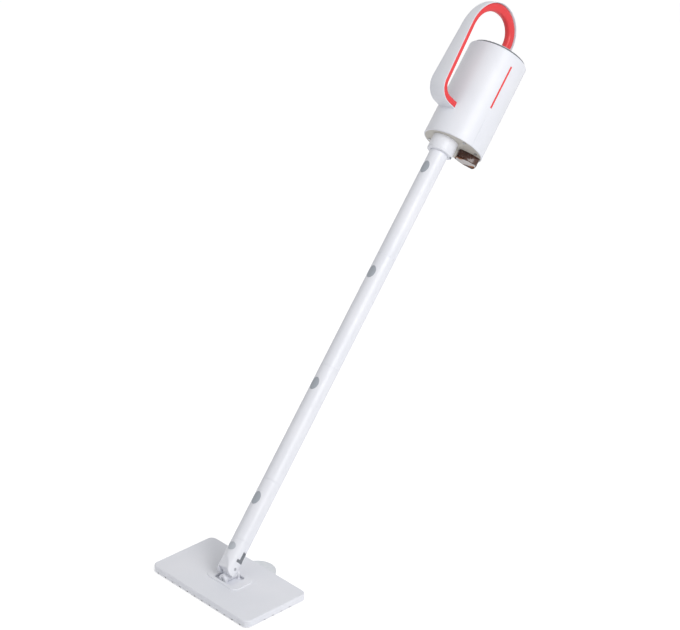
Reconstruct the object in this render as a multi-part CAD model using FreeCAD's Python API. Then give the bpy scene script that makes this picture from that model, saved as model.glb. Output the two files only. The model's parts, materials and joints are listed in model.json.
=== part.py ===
import FreeCAD, Part
import math
import os

# Steam mop: a flat mopping head, a two-way joint, a wand of four plug-together
# tubes and a hand-held steam unit with a loop handle and a pull-out water tank.
# Units are millimetres. World frame: origin at the centre of the sole, on the
# floor, +X along the head's long side, +Y towards its back edge, +Z up.
# The wand and the unit are drawn upright in the "wand frame": origin on the upper
# hinge axis, +z up the wand, -y towards the handle. They are then leant back.

V = FreeCAD.Vector
UP = V(0, 0, 1)
ALONG_X = V(1, 0, 0)
ALONG_Y = V(0, 1, 0)

# ---- driving dimensions: mopping head -----------------------------------------
HEAD_LENGTH = 256.0
HEAD_WIDTH = 146.0
HEAD_CORNER = 12.0
HEAD_HEIGHT = 15.2
PAD_THICKNESS = 4.0
PAD_MARGIN = 0.4
TAB_RADIUS = 34.0
TAB_THICKNESS = 2.2
STRIP_THICKNESS = 0.8
STRIP_WIDTH = 20.0
STRIP_INSET = 24.0
BASE_THICKNESS = 3.2
STEAM_HOLE_RADIUS = 1.5
STEAM_HOLE_PITCH = 6.0
STEAM_ROW = 10.0
COVER_WALL = 2.2
COVER_EDGE = 2.5
RIM_LOW = 2.5
NOTCH_RADIUS = 2.2
NOTCH_PITCH = 20.0
NOTCHES_ALONG = 12
NOTCHES_ACROSS = 4
HEAD_SCREW_INSET_X = 30.0
HEAD_SCREW_INSET_Y = 22.0
SCREW_HEAD = 3.2
SCREW_HEAD_THICKNESS = 1.7
SCREW_SHANK = 1.5
BOSS_RADIUS = 4.0
POD_LENGTH = 80.0
POD_WIDTH = 50.0
POD_HEIGHT = 1.6
POD_CORNER = 12.0
POD_EDGE = 1.2
WELL_LENGTH = 44.0
WELL_WIDTH = 37.0
WELL_CORNER = 5.0
MANIFOLD_LENGTH = 60.0
MANIFOLD_WIDTH = 28.0
MANIFOLD_HEIGHT = 2.0
MANIFOLD_WALL = 3.0
MANIFOLD_ROOF = 0.8

# ---- driving dimensions: two-way joint ----------------------------------------
REST_LEAN = 45.4
REST_TILT = -10.65
TILT_AXIS_HEIGHT = 20.0
JOINT_BACK = 1.5
FOOT_LENGTH = 46.0
FOOT_WIDTH = 40.0
FOOT_THICKNESS = 1.2
CROSS_RISE = 16.5
BARREL_RADIUS = 8.0
BARREL_LENGTH = 24.0
PIN_RADIUS = 3.0
RUNNING_FIT = 0.05
JOINT_GAP = 0.3
LUG_THICKNESS = 5.0
LUG_MARGIN = 0.4
FORK_TIP_MARGIN = 5.5
FORK_LIP = 5.0
FORK_SLOT_TOP = 20.0
FORK_FLARE_TOP = 19.0
SOCKET_FLOOR = 23.5

# ---- driving dimensions: wand --------------------------------------------------
TUBE_RADIUS = 18.25
TUBE_WALL = 2.0
TUBE_EDGE = 0.5
FIT_GAP = 0.1
NECK_TOP = 51.5
SHORT_TUBE = 121.0
LONG_TUBE = 236.0
TOP_TUBE = 227.5
SPIGOT_LENGTH = 58.0
NECK_SPIGOT = 25.0
SPIGOT_WALL = 1.8
WEB_THICKNESS = 3.0
STEAM_PIPE_RADIUS = 5.0
STEAM_PIPE_BORE = 3.6
SEAL_THICKNESS = 1.2
SEAL_HEIGHT = 3.0
CUP_DEPTH = 10.0
CUP_RADIUS = 7.5
CATCH_TURN = 106.0
CATCH_DEPTH = 1.4
CATCH_BAR_DEPTH = 3.9
CATCH_STEM_WIDTH = 11.0
CATCH_BAR_WIDTH = 21.0
CATCH_LOW = 13.0
CATCH_BAR_TOP = 18.5
CATCH_TOP = 35.0

BUTTON_DROP = 40.0
NECK_BUTTON_DROP = 16.0
BUTTON_WIDTH = 17.0
BUTTON_HEIGHT = 25.0
NECK_BUTTON_HEIGHT = 15.0
BUTTON_GAP = 0.25
BUTTON_FLANGE = 1.2
BUTTON_PROUD = 0.3
SPRING_THICKNESS = 0.5
SPRING_WIDTH = 6.0
SPRING_BITE = 0.6
SPRING_SPAN = 1.15

# ---- driving dimensions: steam unit --------------------------------------------
COLLAR_MARGIN = 7.55
COLLAR_LENGTH = 29.5
BODY_RADIUS = 60.5
BODY_TAPER = 0.8
BODY_HEIGHT = 200.0
BODY_OFFSET = 23.7
BODY_WALL = 2.5
BODY_TOP_WALL = 3.5
BODY_TOP_EDGE = 1.5
BODY_BOTTOM_EDGE = 1.2
BASE_DISC = 3.0
BASE_LIFT = 0.2
CAP_MARGIN = 5.0
CAP_PROUD = 5.0
CAP_DEPTH = 4.0
CAP_EDGE = 1.2
STRIPE_TURN = 77.0
STRIPE_WIDTH = 3.6
STRIPE_LOW = 84.0
STRIPE_LENGTH = 92.0
GROOVE_DEPTH = 1.0
SEAM_WIDTH = 0.6
SEAM_DEPTH = 0.5
SEAM_HEIGHT = 60.0
POWER_BUTTON_RADIUS = 9.0
POWER_BUTTON_PROUD = 2.4
POWER_BUTTON_TRAVEL = 2.0
POWER_BUTTON_BACK = 32.0
GLAND_RADIUS = 8.0
GLAND_BORE = 3.6
GLAND_LENGTH = 14.0
GLAND_HEIGHT = 30.0

# ---- driving dimensions: loop handle -------------------------------------------
FINGER_ROOM = 41.3
GRIP_WIDTH = 36.8
GRIP_THICKNESS = 11.5
GRIP_SHELL = 2.0
LOOP_WIDTH = 17.0
LOOP_CENTRE = 42.0
LOOP_SPRING_RISE = 29.0
LOOP_FRONT_DROP = 25.0
LOOP_CORE_RISE = 56.2
LOOP_INNER_RISE = 36.5
LOOP_INNER_BACK = 40.0
LOOP_BACK = 59.4
CORE_BACK = 58.0
LOOP_SQUASH = 13.3
LINING_INSET = 0.8
ARM_SINK = 8.5
ARM_BOTTOM = 50.0
ARM_THICKNESS = 14.0
ARM_BEND = 35.0
HANDLE_SCREW_RADIUS = 3.2
HANDLE_SCREW_THICKNESS = 2.0
ARM_SCREW_SIDE = 9.0
FOOT_SCREW_SIDE = 4.6

# ---- driving dimensions: water tank --------------------------------------------
TANK_TURN = 146.0
TANK_INNER = 14.0
TANK_MARGIN = 3.7
TANK_INNER_HALF = 8.0
TANK_MIDDLE_HALF = 15.5
TANK_OUTER_HALF = 12.5
TANK_INNER_CORNER = 3.0
TANK_OUTER_CORNER = 3.0
TANK_DROP = 14.0
TANK_HEIGHT = 150.0
TANK_WALL = 2.0
TANK_GAP = 0.5
TANK_LID = 3.0
TANK_FOOT_EDGE = 1.2
TANK_STUB = 5.0
TANK_STUB_BORE = 2.0
TANK_STUB_RISE = 12.0
TANK_STUB_INSET = 18.8

# ---- driving dimensions: inside the unit ---------------------------------------
CHASSIS_REACH = -1.0
CHASSIS_THICKNESS = 2.5
CHASSIS_HALF = 46.0
CHASSIS_DROP = 12.0
SHELF_GAP = 8.0
SHELF_THICKNESS = 3.0
SHELF_DEPTH = 34.0
SHELF_OVERHANG = 12.0
BRIDGE_DROP = 25.0
BOILER_RADIUS = 21.0
BOILER_LENGTH = 110.0
BOILER_LIFT = 14.0
BOILER_WALL = 2.0
FLANGE_MARGIN = 1.5
FLANGE_THICKNESS = 4.0
TERMINAL_WIDTH = 6.3
THERMOSTAT_RADIUS = 7.0
PUMP_SIDE = 34.5
PUMP_LIFT = 6.0
PUMP_RADIUS = 12.0
PUMP_MOTOR = 44.0
PUMP_HEAD = 26.0
PUMP_HEAD_HEIGHT = 18.0
PUMP_STANDOFF = 16.0
PUMP_PORT_GAP = 6.0
HOSE_RADIUS = 2.4
HOSE_BORE = 1.4
BOARD_WIDTH = 64.0
BOARD_HEIGHT = 46.0
BOARD_THICKNESS = 1.6
BOARD_DROP = 62.0
BOARD_STANDOFF = 6.0
SWITCH_SIZE = 14.0
SWITCH_HEIGHT = 10.0
SWITCH_DROP = 22.0

# ---- derived places -----------------------------------------------------------
PAD_INSET = COVER_WALL + PAD_MARGIN
STRIP_TOP = PAD_THICKNESS + STRIP_THICKNESS
BASE_TOP = STRIP_TOP + BASE_THICKNESS
COVER_CEILING = HEAD_HEIGHT - COVER_WALL
LUG_RADIUS = BARREL_RADIUS + LUG_MARGIN
FORK_TIP_RADIUS = BARREL_RADIUS + FORK_TIP_MARGIN
FORK_GAP_HALF = BARREL_LENGTH / 2 - 1 + JOINT_GAP

TUBE_BORE = TUBE_RADIUS - TUBE_WALL
SPIGOT_RADIUS = TUBE_BORE - FIT_GAP
SPIGOT_BORE = SPIGOT_RADIUS - SPIGOT_WALL
COLLAR_RADIUS = TUBE_RADIUS + COLLAR_MARGIN
RING_HEIGHTS = [NECK_TOP, NECK_TOP + SHORT_TUBE, NECK_TOP + SHORT_TUBE + LONG_TUBE,
                NECK_TOP + SHORT_TUBE + 2 * LONG_TUBE,
                NECK_TOP + SHORT_TUBE + 2 * LONG_TUBE + TOP_TUBE]
COLLAR_BOTTOM = RING_HEIGHTS[-1]

BODY_BOTTOM = COLLAR_BOTTOM + COLLAR_LENGTH
BODY_TOP = BODY_BOTTOM + BODY_HEIGHT
BODY_TOP_RADIUS = BODY_RADIUS - BODY_TAPER
FLOOR = BODY_BOTTOM + BASE_DISC + BASE_LIFT
CAP_RADIUS = BODY_TOP_RADIUS - CAP_MARGIN
CAP_TOP = BODY_TOP + CAP_PROUD
HANDLE_FOOT = BODY_HEIGHT + CAP_PROUD + FIT_GAP

GRIP_REACH = BODY_RADIUS + FINGER_ROOM + GRIP_THICKNESS
LOOP_SPRING_LINE = BODY_HEIGHT + LOOP_SPRING_RISE
LOOP_RISE = GRIP_REACH - LOOP_CENTRE - LOOP_SQUASH
ARM_START = BODY_RADIUS - ARM_SINK

TANK_OUTER = BODY_RADIUS - TANK_MARGIN
TANK_LOW = BODY_BOTTOM - TANK_DROP
TANK_TOP = TANK_LOW + TANK_HEIGHT
TANK_STUB_REACH = TANK_OUTER - TANK_STUB_INSET
SHELF_LOW = TANK_TOP + SHELF_GAP
SHELF_TOP = SHELF_LOW + SHELF_THICKNESS
CHASSIS_FACE = BODY_OFFSET - CHASSIS_REACH
CHASSIS_BACK = CHASSIS_FACE + CHASSIS_THICKNESS
BOILER_LOW = FLOOR + BOILER_LIFT
BOILER_TOP = BOILER_LOW + BOILER_LENGTH
OUTLET_RADIUS = STEAM_PIPE_RADIUS + 1
OUTLET_TOP = BODY_BOTTOM + BASE_DISC + 8
PUMP_X = PUMP_SIDE - BODY_RADIUS
PUMP_Y = CHASSIS_BACK + PUMP_STANDOFF
PUMP_LOW = FLOOR + PUMP_LIFT
PUMP_TOP = PUMP_LOW + PUMP_MOTOR + PUMP_HEAD_HEIGHT + 8
BUTTON_Y = BODY_OFFSET + POWER_BUTTON_BACK

os.makedirs("parts", exist_ok=True)


# ---- shape helpers ------------------------------------------------------------
def cylinder(radius, low, high, x=0.0, y=0.0):
    """Upright cylinder between two heights."""
    return Part.makeCylinder(radius, high - low, V(x, y, low), UP)


def ring(outer, inner, low, high, x=0.0, y=0.0):
    """Upright tube between two heights."""
    return cylinder(outer, low, high, x, y).cut(cylinder(inner, low - 1, high + 1, x, y))


def is_upright(edge):
    return abs(edge.tangentAt(edge.FirstParameter).z) > 0.99


def edges_above(shape, height):
    return [e for e in shape.Edges if e.BoundBox.ZMin > height - 0.01]


def edges_below(shape, height):
    return [e for e in shape.Edges if e.BoundBox.ZMax < height + 0.01]


def block(size_x, size_y, low, high, x=0.0, y=0.0, corner=0.0):
    """Upright box centred on x, y, with round corners if asked for."""
    box = Part.makeBox(size_x, size_y, high - low, V(x - size_x / 2, y - size_y / 2, low))
    if corner > 0:
        box = box.makeFillet(corner, [e for e in box.Edges if is_upright(e)])
    return box


def bar_x(radius, x_low, x_high, y, z):
    return Part.makeCylinder(radius, x_high - x_low, V(x_low, y, z), ALONG_X)


def bar_y(radius, y_low, y_high, x, z):
    return Part.makeCylinder(radius, y_high - y_low, V(x, y_low, z), ALONG_Y)


def ellipse_bar(width, height, y_low, y_high, z):
    """Oval prism along y, width across x and height along z."""
    half_w, half_h = width / 2, height / 2
    if half_h >= half_w:
        oval = Part.Ellipse(V(0, y_low, z + half_h), V(half_w, y_low, z), V(0, y_low, z))
    else:
        oval = Part.Ellipse(V(half_w, y_low, z), V(0, y_low, z + half_h), V(0, y_low, z))
    face = Part.Face(Part.Wire([oval.toShape()]))
    return face.extrude(V(0, y_high - y_low, 0))


def turned(shape, degrees, x=0.0, y=0.0):
    """Copy of a shape turned about an upright axis."""
    copy = shape.copy()
    copy.rotate(V(x, y, 0), UP, degrees)
    return copy


def joined(shapes):
    """One solid from a list of touching shapes."""
    whole = shapes[0]
    for shape in shapes[1:]:
        whole = whole.fuse(shape)
    return whole.removeSplitter()


def hose(points):
    """Hose along straight runs joined by round bends."""
    edges = []
    last = points[0]
    for before, corner, after in zip(points, points[1:], points[2:]):
        into, away = corner - before, after - corner
        setback = 0.45 * min(into.Length, away.Length)
        start = corner - into.normalize() * setback
        end = corner + away.normalize() * setback
        half_turn = into.getAngle(away) / 2
        radius = setback / math.tan(half_turn)
        bisector = (end - corner).normalize() + (start - corner).normalize()
        reach = radius / math.cos(half_turn)
        middle = corner + bisector.normalize() * (reach - radius)
        edges.append(Part.LineSegment(last, start).toShape())
        edges.append(Part.Arc(start, middle, end).toShape())
        last = end
    edges.append(Part.LineSegment(last, points[-1]).toShape())
    path = Part.Wire(edges)
    heading = (points[1] - points[0]).normalize()
    walls = [path.makePipeShell([Part.Wire(Part.makeCircle(radius, points[0], heading))], True, False)
             for radius in (HOSE_RADIUS, HOSE_BORE)]
    return walls[0].cut(walls[1])


TILT = FreeCAD.Rotation(ALONG_Y, REST_TILT)
LEAN = FreeCAD.Rotation(ALONG_X, -REST_LEAN)
TILT_PIVOT = V(0, JOINT_BACK, TILT_AXIS_HEIGHT)
LEAN_PIVOT = TILT_PIVOT + TILT.multVec(V(0, 0, CROSS_RISE))
CROSS_PLACE = FreeCAD.Placement(TILT_PIVOT, TILT)
WAND_PLACE = FreeCAD.Placement(LEAN_PIVOT, TILT.multiply(LEAN))


def export(name, shapes, place=None):
    """Write one node; a list of shapes becomes separate solids."""
    if not isinstance(shapes, list):
        shapes = [shapes]
    solids = []
    for shape in shapes:
        moved = shape.copy()
        if place is not None:
            moved.Placement = place.multiply(moved.Placement)
        solids.extend(moved.Solids)
    for solid in solids:
        assert solid.isValid() and solid.Volume > 0, name
    result = solids[0] if len(solids) == 1 else Part.makeCompound(solids)
    result.exportStep("parts/%s.step" % name)
    print("%-20s %d solid(s) %.1f mm3" % (name, len(solids), sum(s.Volume for s in solids)))


# ---- mopping head (world frame) -----------------------------------------------
HEAD_SCREW_PLACES = [(sx * (HEAD_LENGTH / 2 - HEAD_SCREW_INSET_X), sy * (HEAD_WIDTH / 2 - HEAD_SCREW_INSET_Y))
                     for sx in (-1, 1) for sy in (-1, 1)]


def make_pad():
    """Washable cloth pad with a half-round pull tab at the back."""
    pad = block(HEAD_LENGTH - 2 * PAD_INSET, HEAD_WIDTH - 2 * PAD_INSET, 0, PAD_THICKNESS,
                corner=HEAD_CORNER - PAD_INSET)
    tab = cylinder(TAB_RADIUS, 0, TAB_THICKNESS, y=HEAD_WIDTH / 2 - PAD_INSET)
    export("mop_pad", joined([pad, tab]))


def make_hook_strips():
    strips = [block(HEAD_LENGTH - 44, STRIP_WIDTH, PAD_THICKNESS, STRIP_TOP,
                    y=side * (HEAD_WIDTH / 2 - STRIP_INSET), corner=3)
              for side in (-1, 1)]
    export("hook_strips", strips)


def make_base_plate():
    """Flat sole plate with two rows of steam holes."""
    inset = 2 * (COVER_WALL + FIT_GAP)
    plate = block(HEAD_LENGTH - inset, HEAD_WIDTH - inset, STRIP_TOP, BASE_TOP,
                  corner=HEAD_CORNER - COVER_WALL)
    for column in range(-4, 5):
        for row in (-STEAM_ROW, STEAM_ROW):
            plate = plate.cut(cylinder(STEAM_HOLE_RADIUS, STRIP_TOP - 1, BASE_TOP + 1,
                                       column * STEAM_HOLE_PITCH, row))
    for x, y in HEAD_SCREW_PLACES:
        plate = plate.cut(cylinder(SCREW_SHANK + FIT_GAP, STRIP_TOP - 1, BASE_TOP + 1, x, y))
        plate = plate.cut(cylinder(SCREW_HEAD + FIT_GAP, STRIP_TOP - 1,
                                   STRIP_TOP + SCREW_HEAD_THICKNESS + FIT_GAP, x, y))
    export("base_plate", plate)


def rim_notches():
    """Small round vents through the lower edge of the cover, all round it."""
    notches = []
    for count in range(NOTCHES_ALONG):
        x = (count - (NOTCHES_ALONG - 1) / 2) * NOTCH_PITCH
        notches.append(bar_y(NOTCH_RADIUS, -HEAD_WIDTH / 2 - 1, HEAD_WIDTH / 2 + 1, x, RIM_LOW))
    for count in range(NOTCHES_ACROSS):
        y = (count - (NOTCHES_ACROSS - 1) / 2) * NOTCH_PITCH
        notches.append(bar_x(NOTCH_RADIUS, -HEAD_LENGTH / 2 - 1, HEAD_LENGTH / 2 + 1, y, RIM_LOW))
    return notches


def make_head_cover():
    """Upper housing: a shallow tray upside down, with vent notches along its rim."""
    cover = block(HEAD_LENGTH, HEAD_WIDTH, RIM_LOW, HEAD_HEIGHT, corner=HEAD_CORNER)
    cover = cover.makeFillet(COVER_EDGE, edges_above(cover, HEAD_HEIGHT))
    cover = cover.cut(block(HEAD_LENGTH - 2 * COVER_WALL, HEAD_WIDTH - 2 * COVER_WALL, RIM_LOW - 1,
                            COVER_CEILING, corner=HEAD_CORNER - COVER_WALL))
    for x, y in HEAD_SCREW_PLACES:
        boss = cylinder(BOSS_RADIUS, BASE_TOP + FIT_GAP, COVER_CEILING + 0.5, x, y)
        cover = cover.fuse(boss)
        cover = cover.cut(cylinder(SCREW_SHANK + FIT_GAP, BASE_TOP - 1, COVER_CEILING, x, y))
    cover = cover.cut(block(WELL_LENGTH, WELL_WIDTH, COVER_CEILING - 1, HEAD_HEIGHT + 1,
                            y=JOINT_BACK, corner=WELL_CORNER))
    core = block(HEAD_LENGTH - 2 * COVER_WALL - 1, HEAD_WIDTH - 2 * COVER_WALL - 1, 0, HEAD_HEIGHT)
    for notch in rim_notches():
        cover = cover.cut(notch.cut(core))
    export("head_cover", cover.removeSplitter())


def make_pod_cover():
    """Low raised surround that hides the foot of the joint bracket."""
    top = HEAD_HEIGHT + POD_HEIGHT
    pod = block(POD_LENGTH, POD_WIDTH, HEAD_HEIGHT, top, y=JOINT_BACK, corner=POD_CORNER)
    pod = pod.makeFillet(POD_EDGE, edges_above(pod, top))
    well = block(WELL_LENGTH, WELL_WIDTH, HEAD_HEIGHT - 1, top + 1, y=JOINT_BACK, corner=WELL_CORNER)
    export("pod_cover", pod.cut(well))


def make_steam_manifold():
    """Frame-shaped channel that spreads the steam over the two rows of holes."""
    outer = block(MANIFOLD_LENGTH, MANIFOLD_WIDTH, BASE_TOP, BASE_TOP + MANIFOLD_HEIGHT, corner=4)
    channel = block(MANIFOLD_LENGTH - 2 * MANIFOLD_WALL, MANIFOLD_WIDTH - 2 * MANIFOLD_WALL, BASE_TOP - 1,
                    BASE_TOP + MANIFOLD_HEIGHT - MANIFOLD_ROOF, corner=2)
    export("steam_manifold", outer.cut(channel))


def make_joint_bracket():
    """Foot plate and two lugs that carry the side-to-side hinge pin."""
    foot_low = BASE_TOP + MANIFOLD_HEIGHT
    foot_top = foot_low + FOOT_THICKNESS
    leg_x, leg_size = 35.5, 6
    pieces = [block(FOOT_LENGTH, FOOT_WIDTH, foot_low, foot_top, y=JOINT_BACK, corner=4)]
    for side in (-1, 1):
        pieces.append(block(leg_size, FOOT_WIDTH - 2, BASE_TOP, foot_low, x=side * leg_x, y=JOINT_BACK))
        pieces.append(block(3 * leg_size, FOOT_WIDTH - 2, foot_low, foot_top,
                            x=side * (leg_x - leg_size), y=JOINT_BACK))
    inner = BARREL_LENGTH / 2 + JOINT_GAP
    for side in (-1, 1):
        low = JOINT_BACK + (inner if side > 0 else -inner - LUG_THICKNESS)
        pieces.append(bar_y(LUG_RADIUS, low, low + LUG_THICKNESS, 0, TILT_AXIS_HEIGHT))
        pieces.append(Part.makeBox(2 * LUG_RADIUS, LUG_THICKNESS, TILT_AXIS_HEIGHT - foot_top + 0.5,
                                   V(-LUG_RADIUS, low, foot_top - 0.5)))
    reach = inner + LUG_THICKNESS + 1
    pin_hole = bar_y(PIN_RADIUS + RUNNING_FIT, JOINT_BACK - reach, JOINT_BACK + reach, 0, TILT_AXIS_HEIGHT)
    export("joint_bracket", joined(pieces).cut(pin_hole))


def make_tilt_pin():
    reach = BARREL_LENGTH / 2 + JOINT_GAP + LUG_THICKNESS
    export("tilt_pin", bar_y(PIN_RADIUS, JOINT_BACK - reach, JOINT_BACK + reach, 0, TILT_AXIS_HEIGHT))


def make_head_screws():
    screws = []
    for x, y in HEAD_SCREW_PLACES:
        head = cylinder(SCREW_HEAD, STRIP_TOP, STRIP_TOP + SCREW_HEAD_THICKNESS, x, y)
        shank = cylinder(SCREW_SHANK, STRIP_TOP + 1, COVER_CEILING - 0.5, x, y)
        drive = block(3.6, 0.8, STRIP_TOP - 1, STRIP_TOP + 0.8, x, y)
        screws.append(joined([head, shank]).cut(drive))
    export("head_screws", screws)


# ---- cross of the two-way joint (frame on the tilt axis, +z to the lean axis) --
def make_joint_cross():
    half = BARREL_LENGTH / 2
    cross = joined([bar_y(BARREL_RADIUS, -half, half, 0, 0),
                    bar_x(BARREL_RADIUS, -half + 1, half - 1, 0, CROSS_RISE),
                    block(2 * BARREL_RADIUS - 1, 2 * BARREL_RADIUS - 1, 0, CROSS_RISE)])
    cross = cross.cut(bar_y(PIN_RADIUS + RUNNING_FIT, -half - 1, half + 1, 0, 0))
    cross = cross.cut(bar_x(PIN_RADIUS + RUNNING_FIT, -half - 1, half + 1, 0, CROSS_RISE))
    export("joint_cross", cross, CROSS_PLACE)


# ---- wand (wand frame) ---------------------------------------------------------
def latch_height(index):
    return RING_HEIGHTS[index] - (NECK_BUTTON_DROP if index == 0 else BUTTON_DROP)


def latch_size(index):
    return NECK_BUTTON_HEIGHT if index == 0 else BUTTON_HEIGHT


def spigot_length(index):
    return NECK_SPIGOT if index == 0 else SPIGOT_LENGTH


def pipe_end(index):
    """Height of the joint between two steam pipes near a ring."""
    return RING_HEIGHTS[index] - spigot_length(index) - 6.0


def latch_hole(shape, index):
    """Oval hole for a latch button, through the handle side of a tube."""
    return shape.cut(ellipse_bar(BUTTON_WIDTH + 2 * BUTTON_GAP, latch_size(index) + 2 * BUTTON_GAP,
                                 -TUBE_RADIUS - 2, -SPIGOT_BORE + 4, latch_height(index)))


def fork_outline():
    """Side view of the neck: round tip on the hinge, flaring up to the tube."""
    tip, wide, far = FORK_TIP_RADIUS, TUBE_RADIUS + 1, 2 * TUBE_RADIUS
    half = [(tip, 0), (wide, FORK_FLARE_TOP), (wide, NECK_TOP + 1)]
    corners = [V(-far, y, z) for y, z in half] + [V(-far, -y, z) for y, z in reversed(half)]
    side = Part.Face(Part.makePolygon(corners + [corners[0]]))
    return side.extrude(V(2 * far, 0, 0)).fuse(bar_x(tip, -far, far, 0, 0))


def fork_slot():
    """Slot for the cross: open behind and below, with a wall in front of the hinge."""
    past = TUBE_RADIUS + 5
    inside = BARREL_RADIUS + JOINT_GAP
    behind = block(2 * FORK_GAP_HALF, past + inside, -past, FORK_SLOT_TOP, y=(past - inside) / 2)
    below = block(2 * FORK_GAP_HALF, 2 * past, -past, -FORK_LIP)
    return behind.fuse(below)


def catch_recess():
    """T-shaped recess for a hanging catch, sunk into the side of the neck."""
    stem = block(CATCH_STEM_WIDTH, 2 * CATCH_DEPTH, CATCH_LOW, CATCH_TOP, y=-TUBE_RADIUS)
    bar = block(CATCH_BAR_WIDTH, 2 * CATCH_BAR_DEPTH, CATCH_LOW, CATCH_BAR_TOP, y=-TUBE_RADIUS)
    return turned(stem.fuse(bar), CATCH_TURN)


def make_neck_fork():
    """Bottom of the wand: a socket above and a fork over the cross below."""
    neck = cylinder(TUBE_RADIUS, -FORK_TIP_RADIUS - 1, NECK_TOP)
    neck = neck.makeFillet(TUBE_EDGE, edges_above(neck, NECK_TOP)).common(fork_outline())
    neck = neck.cut(fork_slot())
    neck = neck.cut(cylinder(TUBE_BORE, SOCKET_FLOOR, NECK_TOP + 1))
    neck = neck.cut(cylinder(STEAM_PIPE_RADIUS + FIT_GAP, 0, SOCKET_FLOOR + 1))
    neck = neck.cut(bar_x(PIN_RADIUS + RUNNING_FIT, -2 * TUBE_RADIUS, 2 * TUBE_RADIUS, 0, 0))
    neck = latch_hole(neck.cut(catch_recess()), 0)
    export("neck_fork", neck.removeSplitter(), WAND_PLACE)


def make_lean_pin():
    reach = TUBE_RADIUS - 0.6
    export("lean_pin", bar_x(PIN_RADIUS, -reach, reach, 0, 0), WAND_PLACE)


def make_wand_tube(number, index):
    """Tube between two rings: spigot below, open socket above."""
    low, high = RING_HEIGHTS[index], RING_HEIGHTS[index + 1]
    tube = cylinder(TUBE_RADIUS, low, high)
    ends = edges_above(tube, high) + edges_below(tube, low)
    tube = tube.makeFillet(TUBE_EDGE, ends).cut(cylinder(TUBE_BORE, low - 1, high + 1))
    spigot = ring(SPIGOT_RADIUS, SPIGOT_BORE, low - spigot_length(index), low + WEB_THICKNESS)
    web = ring(TUBE_RADIUS - TUBE_EDGE, STEAM_PIPE_RADIUS + FIT_GAP, low, low + WEB_THICKNESS)
    tube = latch_hole(latch_hole(joined([tube, spigot, web]), index), index + 1)
    export("wand_tube_%d" % number, tube.removeSplitter(), WAND_PLACE)


def make_steam_pipe(number, index):
    """Inner steam pipe of one tube, with a cup at its top for the next pipe's end."""
    low = FORK_SLOT_TOP + 0.5 if index == 0 else pipe_end(index)
    cup_floor = pipe_end(index + 1) - 0.5
    pipe = cylinder(STEAM_PIPE_RADIUS, low, cup_floor)
    pipe = pipe.fuse(cylinder(CUP_RADIUS, cup_floor - 1.5, cup_floor + CUP_DEPTH))
    pipe = pipe.cut(cylinder(STEAM_PIPE_BORE, low - 1, cup_floor + 1))
    pipe = pipe.cut(cylinder(STEAM_PIPE_RADIUS + SEAL_THICKNESS, cup_floor, cup_floor + CUP_DEPTH + 1))
    export("steam_pipe_%d" % number, pipe.removeSplitter(), WAND_PLACE)


def make_pipe_seals():
    seals = []
    for index in range(1, 5):
        low = pipe_end(index) + 2.0
        seals.append(ring(STEAM_PIPE_RADIUS + SEAL_THICKNESS - RUNNING_FIT, STEAM_PIPE_RADIUS + RUNNING_FIT,
                          low, low + SEAL_HEIGHT))
    export("pipe_seals", seals, WAND_PLACE)


def make_latch_button(number, index):
    """Oval snap button: it stands in both walls, with a flange inside the spigot."""
    height, tall = latch_height(index), latch_size(index)
    low, high = height - tall, height + tall
    flange_outer = SPIGOT_BORE - FIT_GAP
    flange_inner = flange_outer - BUTTON_FLANGE
    oval = ellipse_bar(BUTTON_WIDTH, tall, -TUBE_RADIUS - 2, 0, height)
    face = oval.common(ring(TUBE_RADIUS + BUTTON_PROUD, flange_inner, low, high))
    flange_oval = ellipse_bar(BUTTON_WIDTH + 3, tall + 2.4, -TUBE_RADIUS, 0, height)
    flange = flange_oval.common(ring(flange_outer, flange_inner, low, high))
    export("latch_button_%d" % number, joined([face, flange]), WAND_PLACE)


def make_latch_spring(number, index):
    """Bowed leaf spring between the steam pipe and the back of the button."""
    height = latch_height(index)
    near = -STEAM_PIPE_RADIUS - FIT_GAP
    far = SPRING_BITE + BUTTON_FLANGE + FIT_GAP - SPIGOT_BORE
    bow = near - SPRING_THICKNESS - far
    half = max(latch_size(index) / 2 - 3, BARREL_RADIUS, SPRING_SPAN * bow)
    x = -SPRING_WIDTH / 2
    outer = Part.Arc(V(x, near - SPRING_THICKNESS, height - half), V(x, far, height),
                     V(x, near - SPRING_THICKNESS, height + half))
    inner = Part.Arc(V(x, near, height - half), V(x, far + SPRING_THICKNESS, height),
                     V(x, near, height + half))
    ends = [Part.LineSegment(V(x, near - SPRING_THICKNESS, z), V(x, near, z))
            for z in (height - half, height + half)]
    outline = Part.Wire(Part.__sortEdges__([side.toShape() for side in [outer, inner] + ends]))
    export("latch_spring_%d" % number, Part.Face(outline).extrude(V(SPRING_WIDTH, 0, 0)), WAND_PLACE)


# ---- steam unit (wand frame; its own axis stands BODY_OFFSET behind the wand) --
def at_body(reach, height, across=0.0):
    """Point given by its reach towards the handle and height above the unit's bottom."""
    return V(across, BODY_OFFSET - reach, BODY_BOTTOM + height)


def body_cone(shrink, low, high):
    """Unit's tapered outside, drawn in or out by a margin."""
    slope = -BODY_TAPER / BODY_HEIGHT
    r_low = BODY_RADIUS - shrink + slope * (low - BODY_BOTTOM)
    r_high = BODY_RADIUS - shrink + slope * (high - BODY_BOTTOM)
    return Part.makeCone(r_low, r_high, high - low, V(0, BODY_OFFSET, low), UP)


def stripe_box(margin, depth):
    box = block(depth, STRIPE_WIDTH + 2 * margin, BODY_BOTTOM + STRIPE_LOW - margin,
                BODY_BOTTOM + STRIPE_LOW + STRIPE_LENGTH + margin, BODY_RADIUS - depth / 2 + 2, BODY_OFFSET)
    return turned(box, STRIPE_TURN - 90, 0, BODY_OFFSET)


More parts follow.
